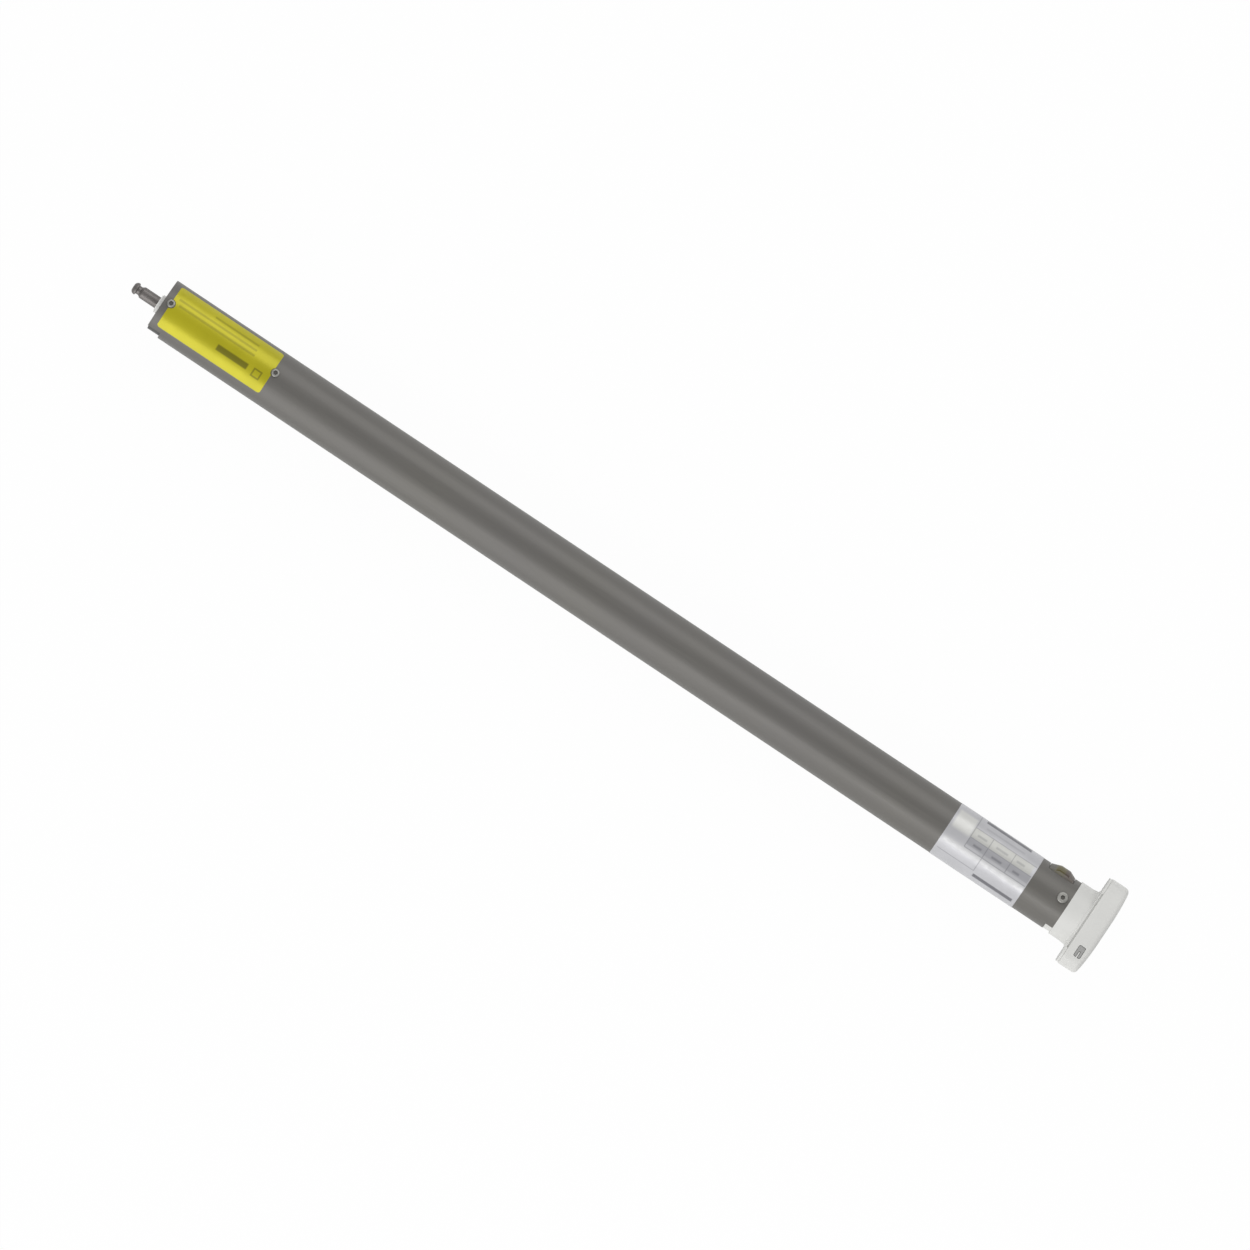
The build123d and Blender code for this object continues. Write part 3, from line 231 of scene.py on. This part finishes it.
def yellow_label():
    """Yellow film with three rules, a bar and a small square in place of the lettering and the sign."""
    t = Tree("yellow_label", 0.36, 0.35)
    x, s = t.unrolled()
    film = t.blend(t.noise(60, 3), srgb(175, 168, 16), srgb(185, 177, 22))
    soft = 0.0003
    half = 0.0006

    # Places along x count from the label's start
    def along(start, end, *softness):
        return (YELLOW_START + start, YELLOW_START + end, *softness)

    rules = ((0.0214, 0.0461, 0.0104), (0.0024, 0.0464, 0.0073), (0.0038, 0.0468, 0.0045))
    lines = t.either(*(t.patch(x, s, along(a, b), (v - half, v + half, soft)) for a, b, v in rules))
    bar = t.patch(x, s, along(0.0295, 0.0468, soft), (-0.0033, -0.0003, soft))
    outer = t.patch(x, s, along(0.0498, 0.0546), (-0.0045, 0.0000))
    inner = t.patch(x, s, along(0.0506, 0.0538), (-0.0037, -0.0008))
    square = t.math("SUBTRACT", outer, inner, clamp=True)
    c = t.ink(lines, 0.4, film, srgb(92, 86, 12))
    c = t.ink(bar, 0.75, c, srgb(84, 80, 12))
    c = t.ink(square, 0.6, c, srgb(92, 88, 12))
    t.colour(c)
    t.bump(t.noise(900, 2), 0.10, 0.00002)
    return t.mat


def silver_label():
    """Silver film with a blank grid, plain bars and dashes in place of the lettering and the marks, and a
    paler band of painted highlight.
    """
    t = Tree("silver_label", 0.38, 0.3)
    x, s = t.unrolled()
    c = t.blend(t.noise(70, 3), srgb(179, 179, 182), srgb(190, 190, 193))

    # The grid's columns along the tube and its rows round it
    start, grid, second, third, end = -0.0890, -0.0785, -0.0684, -0.0557, -0.0440
    top, high, middle, low, foot = 0.0190, 0.0087, 0.0030, -0.0024, -0.0104

    # Fields of another grey, each over the ones before it
    fields = (
        ((start, -0.0792, 0.0006), (0.0026, 0.0132, 0.0008), srgb(203, 203, 200)),
        # Painted highlight: a paler band below the grey row, where the lamp's reflection falls
        ((start, end, 0.0006), (-0.0056, -0.0025, 0.0003), srgb(191, 191, 192)),
        ((-0.0790, -0.0452), (0.00325, 0.00860), srgb(184, 184, 180)),
        ((grid, end), (-0.00080, 0.00290, 0.0003), srgb(166, 166, 170)),
    )
    for x_span, s_span, grey in fields:
        c = t.mix(t.patch(x, s, x_span, s_span), c, grey)

    thin = 0.00022
    soft = 0.00012
    rules_along = ((grid, end, high), (grid, end, middle), (grid, end, low), (start, second, foot))
    rules_round = ((grid, low, top), (second, foot, high), (third, low, high))
    rules = [t.patch(x, s, (a, b), (v - thin, v + thin, soft)) for a, b, v in rules_along]
    rules += [t.patch(x, s, (v - thin, v + thin, soft), (a, b)) for v, a, b in rules_round]
    c = t.ink(t.either(*rules), 0.5, c, srgb(108, 108, 114))

    # Dashes: from and to along the tube, middle round it, share of ink
    half = 0.00055
    soft = 0.0003
    dashes = (
        (-0.0758, -0.0706, 0.0056, 0.35),
        (-0.0654, -0.0587, 0.0056, 0.35),
        (-0.0537, -0.0492, 0.0056, 0.35),
        (-0.0753, -0.0706, 0.0005, 0.5),
        (-0.0649, -0.0592, 0.0005, 0.5),
        (-0.0530, -0.0492, 0.0005, 0.5),
        (-0.0739, -0.0521, 0.0117, 0.18),
        (-0.0635, -0.0487, -0.0049, 0.12),
    )
    for a, b, v, share in dashes:
        dash = t.patch(x, s, (a, b, soft), (v - half, v + half, soft))
        c = t.ink(dash, share, c, srgb(96, 96, 102))

    head_bar = t.patch(x, s, (-0.0753, -0.0502, soft), (0.0156, 0.0190, soft))
    foot_bar = t.patch(x, s, (-0.0677, -0.0454, soft), (-0.0144, -0.0120, soft))
    t.colour(t.ink(t.either(head_bar, foot_bar), 0.85, c, srgb(88, 88, 94)))
    t.roughness(t.noise(300, 3), 0.35, 0.45)
    t.bump(t.noise(900, 2), 0.10, 0.00002)
    return t.mat


def board_green():
    """Circuit board: green lacquer with a faint pattern of tracks."""
    t = Tree("board_green", 0.35)
    n = t.nt.nodes.new("ShaderNodeTexBrick")
    n.inputs["Scale"].default_value = 260
    n.inputs["Mortar Size"].default_value = 0.012
    n.inputs["Color1"].default_value = srgb(24, 82, 48)
    n.inputs["Color2"].default_value = srgb(30, 92, 54)
    n.inputs["Mortar"].default_value = srgb(70, 128, 78)
    t.link(t.coord, n.inputs["Vector"])
    t.colour(n.outputs["Color"])
    t.bump(n.outputs["Fac"], 0.2, 0.00003)
    return t.mat


def windings():
    """Copper wire, turn beside turn."""
    t = Tree("copper_windings", 0.28, 1.0)
    n = t.nt.nodes.new("ShaderNodeTexWave")
    n.bands_direction = "X"
    n.inputs["Scale"].default_value = 500
    n.inputs["Distortion"].default_value = 1.5
    t.link(t.coord, n.inputs["Vector"])
    t.colour(t.mix(n.outputs["Fac"], srgb(132, 66, 34), srgb(206, 122, 74)))
    t.bump(n.outputs["Fac"], 0.8, 0.0001)
    return t.mat


def ring_screws():
    """Zinc screw heads with painted shade in the recess, where the surface lies nearer the tube's axis
    than the rim.
    """
    recess_floor, rim_edge = 0.01442, 0.01452
    t = Tree("tube_screw_zinc", 0.4, 0.6)
    _, y, z = t.xyz()
    radius = t.math("SQRT", t.math("ADD", t.math("MULTIPLY", y, y), t.math("MULTIPLY", z, z)))
    recess_shade = t.range(radius, recess_floor, rim_edge, 1, 0)
    streak = t.noise(500, 3)
    rim = t.blend(streak, srgb(146, 145, 141), srgb(166, 165, 160))
    # Painted shade: the recess takes a dark grey in place of the shade in the hollow
    t.colour(t.mix(recess_shade, rim, srgb(92, 90, 86)))
    t.roughness(streak, 0.34, 0.46)
    t.bump(streak, 0.2, 0.00002)
    return t.mat


def slope_shade_share(t, x):
    """Where the latch and its wear plate turn from olive to a reddish brown that is painted shade on the
    slope towards the head.
    """
    return t.range(x, HEAD_END - 0.0098, HEAD_END - 0.0084, 0, 1)


def latch_plastic():
    """Grey as the tube, then olive, then a reddish brown at the head that is painted shade on the slope,
    and paler on the flat sides as painted light.
    """
    side_start, side_full = 0.0077, 0.0079
    t = Tree("latch_plastic", 0.46, 0.1)
    x, _, z = t.xyz()
    to_olive = t.range(x, HEAD_END - 0.0146, HEAD_END - 0.0138, 0, 1)
    to_slope_shade = slope_shade_share(t, x)
    side = t.range(t.math("ABSOLUTE", z), side_start, side_full, 0, 1)

    def zones(grey, olive, brown):
        return t.mix(to_slope_shade, t.mix(to_olive, grey, olive), brown)

    # Top: the reddish brown towards the head is painted shade on the slope
    top_colour = zones(srgb(88, 86, 80), srgb(92, 87, 64), srgb(82, 73, 67))
    # Painted light: the flat sides are paler than the top to make up for the light they miss
    side_painted_light = zones(srgb(108, 106, 99), srgb(113, 109, 93), srgb(112, 105, 99))
    cloud = t.math("MULTIPLY", t.ramp(t.noise(140, 4), CLOUD_LOW, CLOUD_HIGH), 0.12)
    t.colour(t.mix(cloud, t.mix(side, top_colour, side_painted_light), srgb(150, 147, 140)))
    fine = t.noise(2200, 2)
    t.roughness(fine, 0.42, 0.52)
    t.bump(fine, 0.2, 0.00003)
    return t.mat


def wear_plate():
    """Dull bronze, olive, with a reddish brown towards the head that is painted shade on the slope."""
    t = Tree("wear_bronze", 0.46, 0.5)
    streak = t.streaks((200, 900, 900))
    olive = t.blend(streak, srgb(92, 86, 56), srgb(102, 96, 65))
    # Painted shade: the bronze on the slope towards the head takes a darker reddish brown
    brown = t.blend(streak, srgb(84, 75, 68), srgb(94, 84, 77))
    t.colour(t.mix(slope_shade_share(t, t.xyz()[0]), olive, brown))
    t.roughness(streak, 0.40, 0.52)
    t.bump(streak, 0.25, 0.00002)
    return t.mat


white = moulded("white_shell", srgb(212, 212, 209), 0.50, spread=0.015, bump=0.18)
black = moulded("black_plastic", srgb(40, 40, 41), 0.5)
steel = metal("gear_steel", srgb(150, 150, 153), 0.32, (300, 300, 300))
zinc = metal("zinc_steel", srgb(178, 177, 174), 0.28, (500, 500, 500))
bronze = metal("bronze", srgb(168, 120, 66), 0.36, (300, 300, 300))
cell = moulded("cell_jacket", srgb(56, 104, 160), 0.3, grain=600, spread=0.04, bump=0.05)
board = board_green()

# The finish of each node; the gears, carriers and shafts that aren't named here are plain gear steel
finishes = {
    "housing_tube": tube_paint(),
    "yellow_label": yellow_label(),
    "rating_label": silver_label(),
    "tube_screws": ring_screws(),
    "head_body": white,
    "head_cover": white,
    "cover_screws": zinc,
    "bracket_inserts": metal("insert_brass", srgb(200, 164, 88), 0.3, (500, 900, 900)),
    "prog_button": moulded("button_grey", srgb(158, 158, 156), 0.5),
    "switch_plunger": black,
    "tact_switch": black,
    "head_board": board,
    "charge_socket": metal("socket_steel", srgb(186, 186, 188), 0.25, (600, 600, 80)),
    "socket_tongue": black,
    "status_light": moulded("light_pipe", srgb(222, 226, 230), 0.15, spread=0.01, bump=0.02),
    "crown_latch": latch_plastic(),
    "latch_plate": wear_plate(),
    "latch_spring": metal("spring_steel", srgb(150, 150, 155), 0.25, (80, 900, 900)),
    "battery_tray": moulded("tray_plastic", srgb(58, 58, 61), 0.55),
    "board_tray": moulded("tray_plastic_b", srgb(58, 58, 61), 0.55),
    "battery_cell_1": cell,
    "battery_cell_2": cell,
    "battery_cell_3": cell,
    "cell_links": metal("nickel", srgb(190, 186, 176), 0.22, (700, 700, 700)),
    "battery_wires": moulded("lead_red", srgb(168, 34, 30), 0.4, grain=900, bump=0.05),
    "motor_wires": moulded("lead_red_b", srgb(168, 34, 30), 0.4, grain=900, bump=0.05),
    "main_board": board,
    "encoder_board": board,
    "board_parts": moulded("chip_black", srgb(44, 44, 46), 0.45),
    "motor_can": metal("can_steel", srgb(158, 158, 160), 0.34, (60, 700, 700)),
    "motor_magnets": moulded("ferrite", srgb(60, 60, 62), 0.6, spread=0.1),
    "motor_end_bell": black,
    "motor_brushes": moulded("carbon", srgb(46, 46, 46), 0.55, spread=0.15),
    "motor_bushes": bronze,
    "output_bearing": bronze,
    "commutator": metal("commutator_copper", srgb(196, 116, 70), 0.25, (60, 1200, 1200)),
    "rotor_core": metal("core_steel", srgb(110, 110, 114), 0.42, (2600, 20, 20)),
    "rotor_windings": windings(),
    "motor_mount": metal("zinc_casting", srgb(160, 162, 164), 0.45, (500, 500, 500)),
    "mount_screws": zinc,
    "damper_ring": moulded("damper_rubber", srgb(34, 34, 34), 0.7),
    "encoder_magnet": moulded("ferrite_b", srgb(64, 64, 66), 0.5, spread=0.1),
    "end_cap": moulded("cap_plastic", srgb(62, 61, 60), 0.5),
    "shaft_bush": moulded("bush_plastic", srgb(245, 245, 242), 0.4, spread=0.015),
    "output_shaft": metal("shaft_steel", srgb(114, 110, 108), 0.42, (60, 800, 800), 0.08, metallic=0.6),
}
for name, obj in nodes.items():
    mat = finishes.get(name, steel)
    for slot in obj.material_slots:
        slot.material = mat

# The real leaf spring flattens under the latch; here it is a piece of its own with the node's form,
# carried by the housing
leaf = bpy.data.objects.new("leaf_spring", nodes["latch_spring"].data.copy())
bpy.context.scene.collection.objects.link(leaf)
leaf.data.materials.clear()
leaf.data.materials.append(finishes["latch_spring"])
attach(leaf, "housing")
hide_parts("latch_spring")
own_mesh(leaf)


# Floor and studio
FLOOR_Z = -0.0157
FLOOR_SIZE = 8
FLOOR_GREY = 0.8
FLOOR_WHITE_SHARE = 0.97
WORLD_STRENGTH = 0.48
WHITE = (1, 1, 1, 1)


def floor_material():
    """White to the camera, to reflections and through glass, with a faint shadow."""
    mat = bpy.data.materials.new("floor_white")
    mat.use_nodes = True
    nt = mat.node_tree
    nt.nodes.clear()
    out = nt.nodes.new("ShaderNodeOutputMaterial")
    diffuse = nt.nodes.new("ShaderNodeBsdfDiffuse")
    diffuse.inputs["Color"].default_value = (FLOOR_GREY, FLOOR_GREY, FLOOR_GREY, 1)
    glow = nt.nodes.new("ShaderNodeEmission")
    glow.inputs["Color"].default_value = WHITE
    glow.inputs["Strength"].default_value = 1.0
    path = nt.nodes.new("ShaderNodeLightPath")
    seen = path.outputs["Is Camera Ray"]
    for ray in ("Is Glossy Ray", "Is Transmission Ray"):
        either = nt.nodes.new("ShaderNodeMath")
        either.operation = "MAXIMUM"
        nt.links.new(seen, either.inputs[0])
        nt.links.new(path.outputs[ray], either.inputs[1])
        seen = either.outputs[0]
    share = nt.nodes.new("ShaderNodeMath")
    share.operation = "MULTIPLY"
    share.inputs[1].default_value = FLOOR_WHITE_SHARE
    nt.links.new(seen, share.inputs[0])
    mix = nt.nodes.new("ShaderNodeMixShader")
    nt.links.new(share.outputs[0], mix.inputs[0])
    nt.links.new(diffuse.outputs[0], mix.inputs[1])
    nt.links.new(glow.outputs[0], mix.inputs[2])
    nt.links.new(mix.outputs[0], out.inputs["Surface"])
    return mat


bpy.ops.mesh.primitive_plane_add(size=FLOOR_SIZE, location=(MOTOR_MIDDLE[0], 0, FLOOR_Z))
floor = bpy.context.object
floor.name = "floor"
floor.data.materials.append(floor_material())

scene = bpy.context.scene
world = bpy.data.worlds.new("studio")
scene.world = world
world.use_nodes = True
background = world.node_tree.nodes["Background"]
background.inputs["Color"].default_value = WHITE
background.inputs["Strength"].default_value = WORLD_STRENGTH


def area(name, place, target, size, power):
    """Rectangular lamp that points at a target; size in metres, power in watts."""
    light = bpy.data.lights.new(name, "AREA")
    light.shape = "RECTANGLE"
    light.size, light.size_y = size
    light.energy = power
    obj = bpy.data.objects.new(name, light)
    scene.collection.objects.link(obj)
    obj.location = place
    obj.rotation_euler = (Vector(target) - Vector(place)).to_track_quat("-Z", "Y").to_euler()


area("strip_low_side", place=(-0.75, -1.6, 0.75), target=(-0.75, 0, 0), size=(1.2, 1.6), power=14.7)
area("strip_head_side", place=(0.06, -1.03, 1.20), target=(0.06, 0, 0), size=(0.42, 0.44), power=4.8)
area("fill_head", place=(0.16, -0.36, 0.24), target=(-0.01, 0, 0), size=(0.25, 0.25), power=0.13)
area("strip_latch_side", place=(-0.27, 1.3, 0.9), target=MOTOR_MIDDLE, size=(1.8, 1.15), power=11.8)

# Camera: looks straight down on the motor, at the photograph's turn and framing
SENSOR = 36
CAMERA_HEIGHT = 10.0
CAMERA_PLACE = (-0.27038, -0.004291, CAMERA_HEIGHT)
PICTURE_WIDTH = 0.59325
PICTURE_RIGHT = Vector((0.83214, 0.55456, 0)).normalized()
CLIP_END = 50

camera = bpy.data.cameras.new("camera")
camera.sensor_width = SENSOR
camera.lens = SENSOR / 2 / (PICTURE_WIDTH / 2 / CAMERA_HEIGHT)
camera.clip_end = CLIP_END
cam = bpy.data.objects.new("camera", camera)
scene.collection.objects.link(cam)
back = Vector((0, 0, 1))
turn = Matrix((PICTURE_RIGHT, back.cross(PICTURE_RIGHT), back)).transposed().to_4x4()
cam.matrix_world = Matrix.Translation(CAMERA_PLACE) @ turn
scene.camera = cam
scene.view_settings.view_transform = "Standard"
